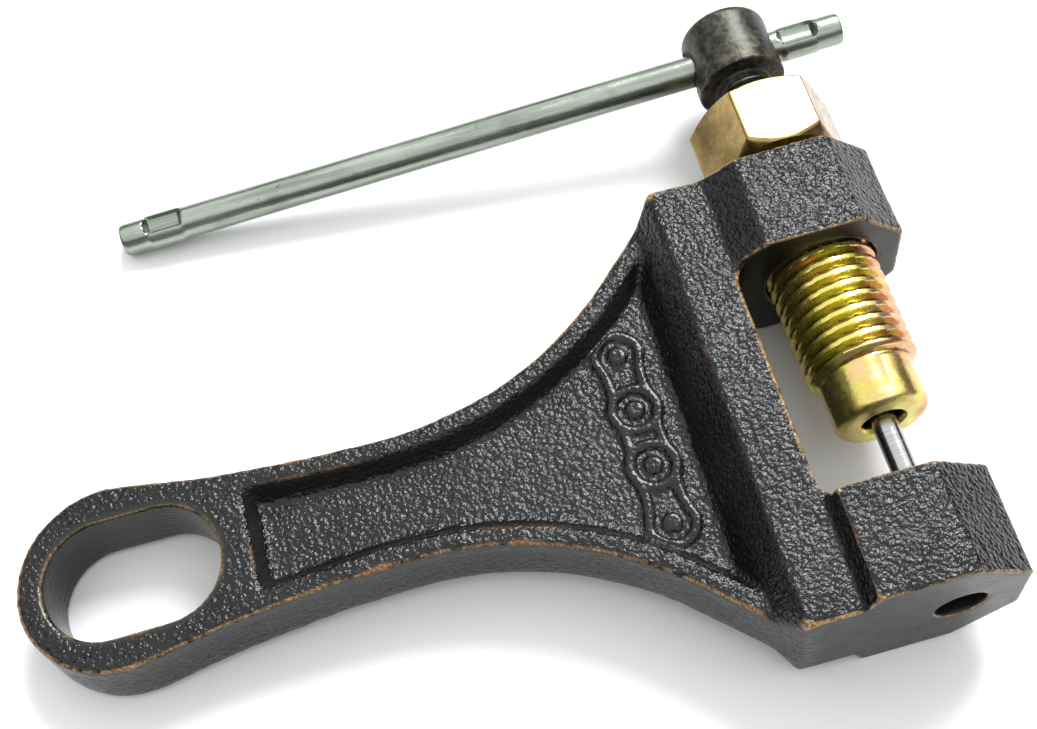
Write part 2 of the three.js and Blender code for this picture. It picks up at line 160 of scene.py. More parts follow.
# Light: a window up behind the right end of the tool, a paler sky round it, and a dim room
WINDOW_FROM = (0.39, 0.56, 0.73)
WINDOW_ANGLE = math.radians(26)
WINDOW_STRENGTH = 3.7
WINDOW_COLOR = (0.98, 0.99, 1.0)
SKY_FROM = (0.06, 0.16, 0.98)
SKY_ANGLE = math.radians(115)
SKY_STRENGTH = 3.1
SKY_COLOR = (0.96, 0.98, 1.0)
ROOM_NEAR = 0.22
ROOM_NEAR_Y = -0.7
ROOM_FAR = 0.10
ROOM_FAR_Y = 0.5
ROOM_COLOR = (1.0, 0.97, 0.92, 1.0)
WHITE = (1.0, 1.0, 1.0, 1.0)

AXIS_Z = HEAD_HALF_MM * MM


# ---------------------------------------------------------------- mesh helpers


def lattice_value(i, j, k, seed):
    """A fixed pseudo-random value from 0 to 1 for each whole-numbered point."""
    mix = (i * 73856093) ^ (j * 19349663) ^ (k * 83492791) ^ (seed * 2654435761)
    mix &= 0xFFFFFFFF
    mix = ((mix ^ (mix >> 13)) * 1274126177) & 0xFFFFFFFF
    mix ^= mix >> 16
    return (mix & 0xFFFF) / 65535.0


def value_noise(points, cell, seed):
    """Smooth noise from -1 to 1 at each point, with lumps about as wide as cell."""
    q = points / cell
    base = np.floor(q).astype(np.int64)
    f = q - base
    f = f * f * (3 - 2 * f)
    total = np.zeros(len(points))
    for corner in range(8):
        step = np.array([corner & 1, (corner >> 1) & 1, corner >> 2])
        at = base + step
        weight = np.prod(np.where(step, f, 1 - f), axis=1)
        total += weight * lattice_value(at[:, 0], at[:, 1], at[:, 2], seed)
    return 2 * total - 1


def smooth_step(low, high, value):
    t = np.clip((value - low) / (high - low), 0, 1)
    return t * t * (3 - 2 * t)


def add_object(name, mesh):
    obj = bpy.data.objects.new(name, mesh)
    bpy.context.scene.collection.objects.link(obj)
    return obj


def shade(mesh, sharp_angle=35):
    mesh.shade_smooth()
    mesh.set_sharp_from_angle(angle=math.radians(sharp_angle))


def skin(name, rings, loop=False, sharp_angle=35):
    """A closed skin through rings of points, shaped (rows, sides, 3). The ends are closed by fans,
    or the last ring joins the first."""
    rows, sides, _ = rings.shape
    vertices = rings.reshape(-1, 3)
    grid = np.arange(rows * sides).reshape(rows, sides)
    low = grid if loop else grid[:-1]
    high = np.roll(grid, -1, axis=0) if loop else grid[1:]
    across = np.roll(low, -1, axis=1)
    above = np.roll(high, -1, axis=1)
    faces = np.stack([low, across, above, high], axis=-1).reshape(-1, 4).tolist()
    if not loop:
        ends = np.stack([rings[0].mean(axis=0), rings[-1].mean(axis=0)])
        vertices = np.concatenate([vertices, ends])
        first, last = rows * sides, rows * sides + 1
        for side in range(sides):
            after = (side + 1) % sides
            faces.append([first, int(grid[0, after]), int(grid[0, side])])
            faces.append([last, int(grid[-1, side]), int(grid[-1, after])])
    mesh = bpy.data.meshes.new(name)
    mesh.from_pydata(vertices.tolist(), [], faces)
    work = bmesh.new()
    work.from_mesh(mesh)
    bmesh.ops.recalc_face_normals(work, faces=work.faces)
    work.to_mesh(mesh)
    work.free()
    shade(mesh, sharp_angle)
    return mesh


def rounded(pairs, radius, steps=4):
    """A profile of [radius, y] pairs with each inside corner replaced by a short curve."""
    points = [np.array(pair, float) for pair in pairs]
    out = [points[0]]
    for before, corner, after in zip(points, points[1:], points[2:]):
        to_before = before - corner
        to_after = after - corner
        reach_before = min(radius, 0.45 * np.linalg.norm(to_before))
        reach_after = min(radius, 0.45 * np.linalg.norm(to_after))
        start = corner + to_before / np.linalg.norm(to_before) * reach_before
        end = corner + to_after / np.linalg.norm(to_after) * reach_after
        for step in range(steps + 1):
            t = step / steps
            out.append((1 - t) ** 2 * start + 2 * t * (1 - t) * corner + t * t * end)
    out.append(points[-1])
    return out


def round_angles(sides):
    return np.linspace(0, 2 * math.pi, sides, endpoint=False)


def turned_rings(rows, angles):
    """Rings about the screw axis from (radius, y) rows in mm; either may vary with the angle."""
    rings = np.empty((len(rows), len(angles), 3))
    for index, (radius, y) in enumerate(rows):
        rings[index, :, 0] = radius * np.sin(angles)
        rings[index, :, 1] = y
        rings[index, :, 2] = radius * np.cos(angles)
    rings *= MM
    rings[:, :, 2] += AXIS_Z
    return rings


def thread_height(y, angles, pitch):
    """How high the thread stands, from 0 at the root to 1 at the crest."""
    phase = y / pitch - angles / (2 * math.pi)
    return np.clip(0.62 + 0.76 * np.cos(2 * math.pi * phase), 0, 1)


def set_attribute(mesh, name, values):
    layer = mesh.attributes.new(name, "FLOAT", "POINT")
    layer.data.foreach_set("value", np.asarray(values, np.float32))


def vertex_array(mesh):
    co = np.empty(len(mesh.vertices) * 3, np.float32)
    mesh.vertices.foreach_get("co", co)
    return co.reshape(-1, 3).astype(float)


def store_vertices(mesh, co):
    mesh.vertices.foreach_set("co", co.astype(np.float32).ravel())
    mesh.update()


def normal_array(mesh):
    normals = np.empty(len(mesh.vertices) * 3, np.float32)
    mesh.vertex_normals.foreach_get("vector", normals)
    return normals.reshape(-1, 3).astype(float)


class Neighbours:
    """Averages values over the vertices that share an edge with each vertex."""

    def __init__(self, mesh):
        ends = np.empty(len(mesh.edges) * 2, np.int32)
        mesh.edges.foreach_get("vertices", ends)
        self.a, self.b = ends[0::2], ends[1::2]
        self.count = len(mesh.vertices)
        both = np.concatenate([self.a, self.b])
        self.degree = np.maximum(np.bincount(both, minlength=self.count), 1)

    def mean(self, values):
        columns = values.reshape(self.count, -1)
        out = np.empty_like(columns)
        for c in range(columns.shape[1]):
            column = columns[:, c]
            total = np.bincount(self.a, column[self.b], self.count)
            total += np.bincount(self.b, column[self.a], self.count)
            out[:, c] = total / self.degree
        return out.reshape(values.shape)


# ---------------------------------------------------------------- material helpers


class Shader:
    """A small builder for one procedural material."""

    def __init__(self, name):
        self.material = bpy.data.materials.new(name)
        self.material.use_nodes = True
        self.tree = self.material.node_tree
        self.tree.nodes.clear()
        self.surface = self.node("ShaderNodeBsdfPrincipled")
        output = self.node("ShaderNodeOutputMaterial")
        self.tree.links.new(self.surface.outputs[0], output.inputs["Surface"])
        self.place = self.node("ShaderNodeTexCoord").outputs["Object"]

    def node(self, kind, **settings):
        made = self.tree.nodes.new(kind)
        for key, value in settings.items():
            setattr(made, key, value)
        return made

    def feed(self, socket, value):
        if isinstance(value, bpy.types.NodeSocket):
            self.tree.links.new(value, socket)
        else:
            socket.default_value = value

    def set(self, **values):
        names = {"color": "Base Color", "metallic": "Metallic", "roughness": "Roughness",
                 "specular": "Specular IOR Level", "normal": "Normal", "coat": "Coat Weight",
                 "coat_roughness": "Coat Roughness"}
        for key, value in values.items():
            self.feed(self.surface.inputs[names[key]], value)

    def stretched(self, scale):
        mapping = self.node("ShaderNodeMapping")
        self.feed(mapping.inputs["Vector"], self.place)
        mapping.inputs["Scale"].default_value = scale
        return mapping.outputs["Vector"]

    def noise(self, scale, detail=3.0, roughness=0.55, vector=None):
        made = self.node("ShaderNodeTexNoise")
        self.feed(made.inputs["Vector"], vector or self.place)
        made.inputs["Scale"].default_value = scale
        made.inputs["Detail"].default_value = detail
        made.inputs["Roughness"].default_value = roughness
        return made.outputs["Fac"]

    def cells(self, scale, smoothness=0.6, vector=None):
        made = self.node("ShaderNodeTexVoronoi", feature="SMOOTH_F1")
        self.feed(made.inputs["Vector"], vector or self.place)
        made.inputs["Scale"].default_value = scale
        made.inputs["Smoothness"].default_value = smoothness
        return made.outputs["Distance"]

    def attribute(self, name):
        return self.node("ShaderNodeAttribute", attribute_name=name).outputs["Fac"]

    def range(self, value, low, high, out_low=0.0, out_high=1.0):
        made = self.node("ShaderNodeMapRange", interpolation_type="SMOOTHSTEP")
        self.feed(made.inputs["Value"], value)
        made.inputs["From Min"].default_value = low
        made.inputs["From Max"].default_value = high
        made.inputs["To Min"].default_value = out_low
        made.inputs["To Max"].default_value = out_high
        return made.outputs["Result"]

    def math(self, operation, a, b):
        made = self.node("ShaderNodeMath", operation=operation)
        self.feed(made.inputs[0], a)
        self.feed(made.inputs[1], b)
        return made.outputs[0]

    def mix(self, factor, a, b):
        made = self.node("ShaderNodeMix", data_type="RGBA")
        self.feed(made.inputs["Factor"], factor)
        for socket, value in ((made.inputs[6], a), (made.inputs[7], b)):
            self.feed(socket, (*value, 1.0) if isinstance(value, tuple) else value)
        return made.outputs[2]

    def bump(self, height, strength, distance, normal=None):
        made = self.node("ShaderNodeBump")
        self.feed(made.inputs["Height"], height)
        self.feed(made.inputs["Strength"], strength)
        made.inputs["Distance"].default_value = distance
        if normal is not None:
            self.feed(made.inputs["Normal"], normal)
        return made.outputs["Normal"]


# ---------------------------------------------------------------- materials


def black_casting():
    """Blackened cast iron: a glossy wrinkled skin, brown edges and plainer machined faces."""
    s = Shader("black_casting")
    machined = s.attribute("machined")
    walls = s.attribute("walls")
    broad = s.noise(90, detail=4)
    patchy = s.noise(380, detail=5, roughness=0.7)
    fine = s.noise(2600, detail=2)
    tone = s.mix(s.range(broad, 0.35, 0.7), (0.0028, 0.0030, 0.0029), (0.0062, 0.0066, 0.0060))
    tone = s.mix(s.range(fine, 0.64, 0.8, 0.0, 0.5), tone, (0.030, 0.024, 0.018))
    tone = s.mix(s.math("MULTIPLY", walls, 0.7), tone, (0.020, 0.023, 0.019))
    tone = s.mix(machined, tone, (0.0075, 0.0078, 0.0070))
    convex = s.attribute("convex")
    crest = s.math("MULTIPLY", s.range(convex, 0.42, 0.92), s.range(patchy, 0.36, 0.52))
    stain = s.math("MULTIPLY", s.range(convex, 0.10, 0.60), s.range(patchy, 0.42, 0.62))
    stain = s.math("MULTIPLY", stain, s.range(broad, 0.52, 0.66))
    rust = s.mix(s.range(fine, 0.4, 0.6), (0.170, 0.090, 0.030), (0.360, 0.235, 0.110))
    brown = s.mix(s.range(fine, 0.35, 0.65), (0.120, 0.045, 0.016), (0.230, 0.105, 0.045))
    s.set(color=s.mix(crest, s.mix(stain, tone, brown), rust), specular=0.33)
    rough = s.range(patchy, 0.35, 0.7, 0.13, 0.21)
    s.set(roughness=s.math("ADD", rough, s.math("MULTIPLY", machined, 0.20)))
    height = s.math("ADD", s.math("MULTIPLY", s.cells(1500, 0.3), -0.7), s.noise(1750, detail=2))
    rough = s.math("SUBTRACT", 1.0, s.attribute("calm"))
    s.set(normal=s.bump(height, s.range(rough, 0.0, 1.0, 0.12, 1.0), 0.00022))
    return s.material


def yellow_zinc():
    """Yellow chromate over zinc: gold that drifts to green, and to rose on one side."""
    s = Shader("yellow_zinc_steel")
    split = s.node("ShaderNodeSeparateXYZ")
    s.feed(split.inputs[0], s.place)
    drift = s.noise(130, detail=2)
    specks = s.noise(2400, detail=3)
    lean = s.math("ADD", split.outputs["X"], s.range(drift, 0.2, 0.8, -0.003, 0.003))
    gold = s.mix(s.range(drift, 0.38, 0.60), (0.64, 0.58, 0.13), (0.64, 0.47, 0.17))
    gold = s.mix(s.range(lean, 0.0020, 0.0060, 0.0, 0.9), gold, (0.56, 0.30, 0.17))
    gold = s.mix(s.range(s.noise(240, detail=3), 0.53, 0.72, 0.0, 0.6), gold, (0.74, 0.46, 0.30))
    gold = s.mix(s.range(s.noise(170, detail=3), 0.58, 0.74, 0.0, 0.7), gold, (0.80, 0.75, 0.52))
    # Painted shade: the hex head's plating is made a darker brown gold than the thread's, standing
    # in for the dim reflection on its faces.
    gold = s.mix(s.math("MULTIPLY", s.attribute("head"), 0.85), gold, s.mix(
        s.range(s.noise(320, detail=4), 0.35, 0.65), (0.165, 0.108, 0.042), (0.300, 0.192, 0.082)))
    # Painted shade: the thread's roots get darker with their depth, and the stretch of thread
    # between the boss and the hex head is painted fully dark.
    thread_shade = s.range(s.attribute("thread_shade"), 0.40, 1.0, 0.0, 0.9)
    gold = s.mix(thread_shade, gold, (0.120, 0.078, 0.030))
    gold = s.mix(s.range(specks, 0.64, 0.76, 0.0, 0.6), gold, (0.12, 0.085, 0.035))
    s.set(color=gold, metallic=0.95)
    grainy = s.attribute("grainy")
    rough = s.range(s.noise(700), 0.35, 0.7, 0.19, 0.33)
    s.set(roughness=s.math("ADD", rough, s.math("MULTIPLY", grainy, 0.16)))
    s.set(normal=s.bump(s.noise(2100, detail=3), s.range(grainy, 0.0, 1.0, 0.12, 0.7), 0.00016))
    return s.material


def dark_steel():
    """Oiled black oxide, mottled, with a little rust on the rubbed edges."""
    s = Shader("dark_steel")
    mottle = s.noise(560, detail=5, roughness=0.65)
    broad = s.noise(150, detail=3)
    tone = s.mix(s.range(mottle, 0.38, 0.66), (0.020, 0.022, 0.017), (0.075, 0.078, 0.064))
    tone = s.mix(s.range(broad, 0.58, 0.78, 0.0, 0.5), tone, (0.070, 0.048, 0.030))
    edge = s.math("MULTIPLY", s.attribute("convex"), s.range(mottle, 0.46, 0.66))
    tone = s.mix(s.math("MULTIPLY", edge, 0.7), tone, (0.170, 0.092, 0.048))
    s.set(color=tone, metallic=0.72)
    s.set(roughness=s.range(mottle, 0.35, 0.7, 0.32, 0.50))
    s.set(normal=s.bump(s.noise(1500, detail=4), 0.28, 0.00016))
    return s.material


def bright_zinc():
    """Dull clear zinc on drawn bar: lengthwise streaks, dark specks and small stains."""
    s = Shader("bright_zinc_steel")
    streak = s.noise(900, detail=4, vector=s.stretched((0.03, 1.0, 1.0)))
    cloud = s.noise(170, detail=4)
    pits = s.noise(760, detail=4, roughness=0.7)
    tone = s.mix(s.range(streak, 0.32, 0.68), (0.215, 0.240, 0.205), (0.340, 0.372, 0.322))
    tone = s.mix(s.range(cloud, 0.50, 0.76, 0.0, 0.6), tone, (0.165, 0.178, 0.145))
    tone = s.mix(s.range(pits, 0.645, 0.725, 0.0, 0.9), tone, (0.060, 0.046, 0.032))
    s.set(color=tone, metallic=0.92)
    s.set(roughness=s.range(streak, 0.3, 0.7, 0.20, 0.32))
    height = s.math("ADD", streak, s.math("MULTIPLY", pits, -0.6))
    s.set(normal=s.bump(height, 0.36, 0.00014))
    return s.material


def ground_steel():
    """Hardened and ground pin steel with faint rings from the grinding wheel."""
    s = Shader("ground_steel")
    rings = s.noise(3800, detail=3, vector=s.stretched((0.05, 1.0, 0.05)))
    cloud = s.noise(260, detail=2)
    tone = s.mix(s.range(rings, 0.35, 0.65), (0.360, 0.363, 0.368), (0.440, 0.443, 0.448))
    s.set(color=s.mix(s.range(cloud, 0.55, 0.75, 0.0, 0.5), tone, (0.340, 0.320, 0.290)))
    s.set(metallic=1.0, roughness=s.range(rings, 0.3, 0.7, 0.13, 0.24))
    s.set(normal=s.bump(rings, 0.05, 0.00004))
    return s.material


def spring_steel():
    s = Shader("spring_steel")
    drawn = s.noise(1900, detail=3)
    tone = s.mix(s.range(drawn, 0.35, 0.65), (0.260, 0.262, 0.268), (0.430, 0.432, 0.438))
    s.set(color=s.mix(s.range(s.noise(240), 0.55, 0.75, 0.0, 0.6), tone, (0.190, 0.150, 0.110)))
    s.set(metallic=1.0, roughness=s.range(drawn, 0.3, 0.7, 0.26, 0.42))
    s.set(normal=s.bump(drawn, 0.15, 0.00006))
    return s.material


def white_table():
    s = Shader("white_table")
    soft = s.noise(3.0, detail=2)
    s.set(color=s.mix(s.range(soft, 0.3, 0.7), (0.900, 0.900, 0.905), (0.930, 0.930, 0.930)))
    s.set(roughness=s.range(s.noise(40), 0.3, 0.7, 0.80, 0.92), specular=0.15)
    return s.material


# ---------------------------------------------------------------- casting


def emblem(x, y):
    """Height from 0 to 1 of a raised outline of chain plates along the web, for points in mm."""
    along = y - HANDLE_AXIS_Y_MM
    across = x - EMBLEM_X_MM
    half = EMBLEM_PITCH_MM * (EMBLEM_EYES - 1) / 2
    centres = [-half + EMBLEM_PITCH_MM * i for i in range(EMBLEM_EYES)]
    raised = np.zeros(len(x))
    for low, high in zip(centres, centres[1:]):
        reach = np.clip((along - low) / (high - low), 0, 1)
        waist = (EMBLEM_EYE_MM - EMBLEM_WAIST_MM) * np.sin(math.pi * reach)
        distance = np.hypot(across, along - (low + reach * (high - low))) - (EMBLEM_EYE_MM - waist)
        line = 1 - smooth_step(EMBLEM_LINE_MM - 0.25, EMBLEM_LINE_MM + 0.25, np.abs(distance))
        raised = np.maximum(raised, line)
    for centre in centres:
        pin = np.hypot(across, along - centre)
        disc = 1 - smooth_step(EMBLEM_PIN_MM - 0.25, EMBLEM_PIN_MM + 0.25, pin)
        raised = np.maximum(raised, disc)
    return raised


def machined_mask(co, normals):
    """1 on the flat end faces of both jaws and inside their bores, and 0 on the rough skin."""
    x, y, z = co.T / MM
    head = smooth_step(SPINE_BACK_X_MM + 1.0, SPINE_BACK_X_MM + 2.5, x)
    ends = np.zeros(len(x))
    for plane in (ANVIL_SEAT_Y_MM, ANVIL_END_Y_MM, BOSS_BASE_Y_MM, BOSS_TOP_Y_MM):
        ends = np.maximum(ends, 1 - smooth_step(0.25, 0.6, np.abs(y - plane)))
    flat = smooth_step(0.80, 0.95, np.abs(normals[:, 1]))
    from_axis = np.hypot(x, z - HEAD_HALF_MM)
    bore = np.where(y > -25, BOSS_BORE_MM, ANVIL_HOLE_MM)
    inside = 1 - smooth_step(bore + 0.25, bore + 0.6, from_axis)
    return np.maximum(head * ends * flat, inside)


def wall_mask(co, normals):
    """1 on the drawn walls inside the handle: round the eye's slot and round the sunk web."""
    x, y, z = co.T / MM
    along = np.clip(x, SLOT_FAR_X_MM, SLOT_NEAR_X_MM)
    from_slot = np.hypot(x - along, y - HANDLE_AXIS_Y_MM)
    slot = 1 - smooth_step(SLOT_RADIUS_MM + 0.5, SLOT_RADIUS_MM + 1.1, from_slot)
    height = np.abs(z - HEAD_HALF_MM)
    sunk = smooth_step(WEB_HALF_MM + 0.2, WEB_HALF_MM + 0.9, height)
    below_rim = 1 - smooth_step(RIM_HALF_MM - 0.6, RIM_HALF_MM, height)
    leaning = 1 - smooth_step(0.55, 0.85, np.abs(normals[:, 2]))
    handle = 1 - smooth_step(SPINE_BACK_X_MM - 7, SPINE_BACK_X_MM - 6, x)
    rise = sunk * below_rim * leaning * handle * 0.6
    return np.maximum(slot, rise)


def convex_mask(co, normals, around):
    """1 where the skin bulges out along an edge, and 0 on flats and in hollows."""
    blurred = co.copy()
    for _ in range(CURVATURE_REACH):
        blurred = around.mean(blurred)
    bulge = np.einsum("ij,ij->i", co - blurred, normals) / MM
    return smooth_step(0.04, 0.34, bulge)


def cast_skin(source):
    """The CAD frame as one fine skin, to be worn down and roughened."""
    mesh = source.data.copy()
    work = bmesh.new()
    work.from_mesh(mesh)
    bmesh.ops.remove_doubles(work, verts=work.verts, dist=1e-6)
    work.to_mesh(mesh)
    work.free()
    draft = add_object("casting_draft", mesh)
    remesh = draft.modifiers.new("fine_skin", "REMESH")
    remesh.mode = "VOXEL"
    remesh.voxel_size = VOXEL_MM * MM
    bpy.context.view_layer.update()
    shape = draft.evaluated_get(bpy.context.evaluated_depsgraph_get())
    fine = bpy.data.meshes.new_from_object(shape)
    bpy.data.objects.remove(draft)
    return fine


def build_casting():
    mesh = cast_skin(frame["nodes"]["tool_frame"])
    mesh.name = "casting"
    around = Neighbours(mesh)
    co = vertex_array(mesh)
    handle = 1 - smooth_step(SPINE_BACK_X_MM - 2, SPINE_BACK_X_MM + 1, co[:, 0] / MM)
    for step in range(HANDLE_SMOOTHING):
        share = 0.5 if step < HEAD_SMOOTHING else 0.5 * handle
        co += (around.mean(co) - co) * np.reshape(share, (-1, 1))
    store_vertices(mesh, co)
    normals = normal_array(mesh)

    convex = convex_mask(co, normals, around)
    machined = machined_mask(co, normals)
    walls = wall_mask(co, normals)

    points = co / MM
    rough = 1 - np.maximum(machined, 0.75 * walls)
    lift = SWELL_HEIGHT_MM * value_noise(points, SWELL_CELL_MM, 3) * (1 - machined)
    for seed, (cell, height) in enumerate(zip(PEBBLE_CELLS_MM, PEBBLE_HEIGHTS_MM)):
        lift += rough * height * value_noise(points, cell, 11 + seed)
    height = np.abs(points[:, 2] - HEAD_HALF_MM)
    on_web = 1 - smooth_step(WEB_HALF_MM + 0.15, WEB_HALF_MM + 0.5, height)
    on_web *= smooth_step(0.8, 0.95, np.abs(normals[:, 2]))
    raised = on_web * emblem(points[:, 0], points[:, 1])
    lift = lift * (1 - 0.8 * raised) + EMBLEM_HEIGHT_MM * raised
    co += normals * (lift * MM)[:, None]
    store_vertices(mesh, co)

    set_attribute(mesh, "convex", convex)
    set_attribute(mesh, "machined", machined)
    set_attribute(mesh, "walls", walls)
    set_attribute(mesh, "calm", np.maximum(machined, 0.75 * np.maximum(walls, raised)))
    mesh.materials.clear()
    mesh.materials.append(black_casting())
    mesh.shade_smooth()
    casting = add_object("casting", mesh)
    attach(casting, "frame")
    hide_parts("tool_frame")
    return casting


# ---------------------------------------------------------------- press bolt


def bolt_angles():
    """Angles round the bolt, with extra ones beside each corner of the hex head."""
    even = np.arange(0, 360, 3.0)
    corners = np.degrees(HEX_TURN) + 30 + 60 * np.arange(6)
    near = [corners + offset for offset in (-1.2, -0.6, -0.25, 0, 0.25, 0.6, 1.2)]
    return np.radians(np.unique(np.round(np.concatenate([even, *near]) % 360, 3)))


def hex_radius(angles):
    """Distance from the axis to the hex head's faces, with its corners softened."""
    faces = HEX_TURN + np.radians(60 * np.arange(6))
    facing = np.clip(np.cos(angles[None, :] - faces[:, None]), 0, None)
    return HEX_FLATS_MM / 2 / (facing ** HEX_CORNER_POWER).sum(axis=0) ** (1 / HEX_CORNER_POWER)


def soft_min(a, b, width):
    return -width * np.logaddexp(-a / width, -b / width)


def bolt_bore_and_tip(tip, shoulder, start):
    """Rows from the bolt's inner shoulder out through its tip and up to the thread."""
    mouth = TIP_BORE_MM + TIP_BORE_FLARE_MM
    rows = rounded([
        (SCREW_BORE_MM, shoulder),
        (TIP_BORE_MM, shoulder),
        (TIP_BORE_MM, tip + 0.5),
        (mouth, tip),
    ], 0.3)
    return rows + rounded([
        (mouth, tip),
        (BOLT_ROOT_MM, tip),
        (BOLT_ROOT_MM, start),
    ], TIP_EDGE_MM, steps=8)


def thread_rows(start, end, root, depth, pitch, lead, angles):
    """Rows up a thread of the given root radius, whose height fades in as lead(y) allows."""
    rows = []
    for y in np.arange(start, end, THREAD_STEP_MM):
        height = np.minimum(lead(y), depth * thread_height(y, angles, pitch))
        rows.append((root + height, y))
    return rows


def hex_head_rows(base, angles):
    """Rows up the hex head, with its corners turned off at both ends."""
    face = HEX_FLATS_MM / 2
    sides = hex_radius(angles)
    climbs = [0, 0.1, 0.22, 0.36, 0.5, 0.7, 0.9, 1.1, 1.3, 1.5, 1.8, 2.4, 3.6, 5.0, 6.4, 7.8, 8.8]
    climbs += [HEX_LENGTH_MM - d for d in (1.6, 1.2, 1.0, 0.85, 0.7, 0.55, 0.42, 0.3, 0.2, 0.1, 0)]
    rows = []
    for climb in climbs:
        cone_base = face + climb / math.tan(HEX_BASE_CHAMFER)
        cone_top = face + (HEX_LENGTH_MM - climb) / math.tan(HEX_TOP_CHAMFER)
        radius = soft_min(soft_min(sides, cone_base, HEX_EDGE_MM), cone_top, HEX_EDGE_MM)
        rows.append((radius, base + climb))
    return rows


def build_press_bolt():
    low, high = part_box("press_bolt")
    tip, top = low.y / MM, high.y / MM
    base = top - HEX_LENGTH_MM
    start = tip + TIP_LENGTH_MM
    shoulder = tip + TIP_BORE_LENGTH_MM
    angles = bolt_angles()
    face = HEX_FLATS_MM / 2
    depth = BOLT_CREST_MM - BOLT_ROOT_MM

    def lead(y):
        return min(depth, (y - start) * 0.9)

    rows = bolt_bore_and_tip(tip, shoulder, start)
    rows += thread_rows(start + 0.1, base, BOLT_ROOT_MM, depth, BOLT_PITCH_MM, lead, angles)
    rows += hex_head_rows(base, angles)
    rows += [(face - 0.3, top), (face - 1.5, top), (SCREW_BORE_MM + 0.7, top)]
    rows += [(SCREW_BORE_MM + 0.6, top - 0.02), (SCREW_BORE_MM, top - 0.6)]
    rows += [(SCREW_BORE_MM, shoulder + 0.2)]

    mesh = skin("press_bolt_plated", turned_rings(rows, angles), loop=True, sharp_angle=40)
    co = vertex_array(mesh) / MM
    from_axis = np.hypot(co[:, 0], co[:, 2] - HEAD_HALF_MM)
    threaded = (co[:, 1] > start + 0.6) & (co[:, 1] < base - 0.05)
    under_head = threaded & (co[:, 1] > BOSS_TOP_Y_MM - 1)
    # Painted shade mask: how deep each point lies in the thread's roots, set to 1 on the thread
    # between the boss and the hex head.
    thread_shade = np.where(threaded, (BOLT_CREST_MM - from_axis) / depth, 0)
    set_attribute(mesh, "thread_shade", np.where(under_head, 1.0, thread_shade ** 3))
    grainy = 1 - smooth_step(0.1, 0.7, co[:, 1] - tip)
    set_attribute(mesh, "grainy", grainy)
    # Marks the hex head for the painted shade in its plating colour.
    set_attribute(mesh, "head", smooth_step(base - 0.1, base + 0.1, co[:, 1]))
    mesh.materials.append(yellow_zinc())
    bolt = add_object("press_bolt_plated", mesh)
    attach(bolt, "bolt")
    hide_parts("press_bolt")


# ---------------------------------------------------------------- drive screw


def bar_matrix():
    """Place of the tommy bar: its own X axis runs along the bar from the hub's centre."""
    slide = next(j for j in frame["joints"] if j["name"] == "tommy_bar_slide")
    along = Vector(slide["axis"]).normalized()
    side = Vector((0, 1, 0))
    up = along.cross(side)
    centre = Vector((0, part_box("drive_screw")[1].y - HUB_LENGTH_MM * MM / 2, AXIS_Z))
    turn = Matrix((along, side, up)).transposed().to_4x4()
    return Matrix.Translation(centre) @ turn


def rod_along_x(name, rows, sides, sharp_angle=35):
    """A closed round skin about the X axis from (radius, x) rows in millimetres."""
    angles = round_angles(sides)
    rings = np.empty((len(rows), sides, 3))
    for index, (radius, x) in enumerate(rows):
        rings[index, :, 0] = x
        rings[index, :, 1] = radius * np.sin(angles)
        rings[index, :, 2] = radius * np.cos(angles)
    return skin(name, rings * MM, sharp_angle=sharp_angle)


def screw_rows(front, base, top, angles):
    """Rows up the threaded stem, its plain neck and the round hub."""
    depth = STEM_CREST_MM - STEM_ROOT_MM
    neck = base - STEM_NECK_MM

    def lead(y):
        return min(depth, y - front - 0.4, neck - y + 0.1)

    rows = [(0.5, front), (STEM_ROOT_MM - 0.5, front), (STEM_ROOT_MM, front + 0.4)]
    rows += thread_rows(front + 0.5, neck, STEM_ROOT_MM, depth, STEM_PITCH_MM, lead, angles)
    rows += rounded([
        (STEM_ROOT_MM + 0.1, neck),
        (STEM_ROOT_MM + 0.1, base),
        (HUB_RADIUS_MM, base),
        (HUB_RADIUS_MM, base + HUB_LENGTH_MM / 2),
    ], 0.45)
    rows += rounded([
        (HUB_RADIUS_MM, base + HUB_LENGTH_MM / 2),
        (HUB_RADIUS_MM, top),
        (2.2, top),
    ], HUB_EDGE_MM, steps=8)
    return rows + [(1.0, top - 0.04), (0.3, top - 0.05)]


def drill_cross_bore(screw):
    """Cut the flared hole for the tommy bar through the hub."""
    reach = HUB_RADIUS_MM + 1.5
    flare = CROSS_BORE_MM + 0.55
    rows = [(flare + 0.8, -reach), (flare, -HUB_RADIUS_MM + 0.35)]
    rows += [(CROSS_BORE_MM, -HUB_RADIUS_MM + 1.1)]
    rows += [(radius, -x) for radius, x in reversed(rows)]
    cutter = add_object("cross_bore_cutter", rod_along_x("cross_bore_cutter", rows, 56))
    cutter.matrix_world = bar_matrix()
    cut = screw.modifiers.new("cross_bore", "BOOLEAN")
    cut.operation = "DIFFERENCE"
    cut.solver = "EXACT"
    cut.object = cutter
    bpy.context.view_layer.update()
    shape = screw.evaluated_get(bpy.context.evaluated_depsgraph_get())
    drilled = bpy.data.meshes.new_from_object(shape)
    screw.modifiers.clear()
    screw.data = drilled
    bpy.data.objects.remove(cutter)
    shade(drilled)
    return drilled


def hub_rim_mask(co, base, top):
    """1 along the hub's two outer rims and 0 elsewhere."""
    x, y, z = co.T / MM
    from_axis = np.hypot(x, z - HEAD_HALF_MM)
    lower_rim = 1 - smooth_step(0.3, 1.1, np.abs(y - base))
    upper_rim = 1 - smooth_step(0.3, 1.4, np.abs(y - top + 0.5))
    outside = smooth_step(HUB_RADIUS_MM - 1.3, HUB_RADIUS_MM - 0.3, from_axis)
    return np.maximum(lower_rim, upper_rim) * outside


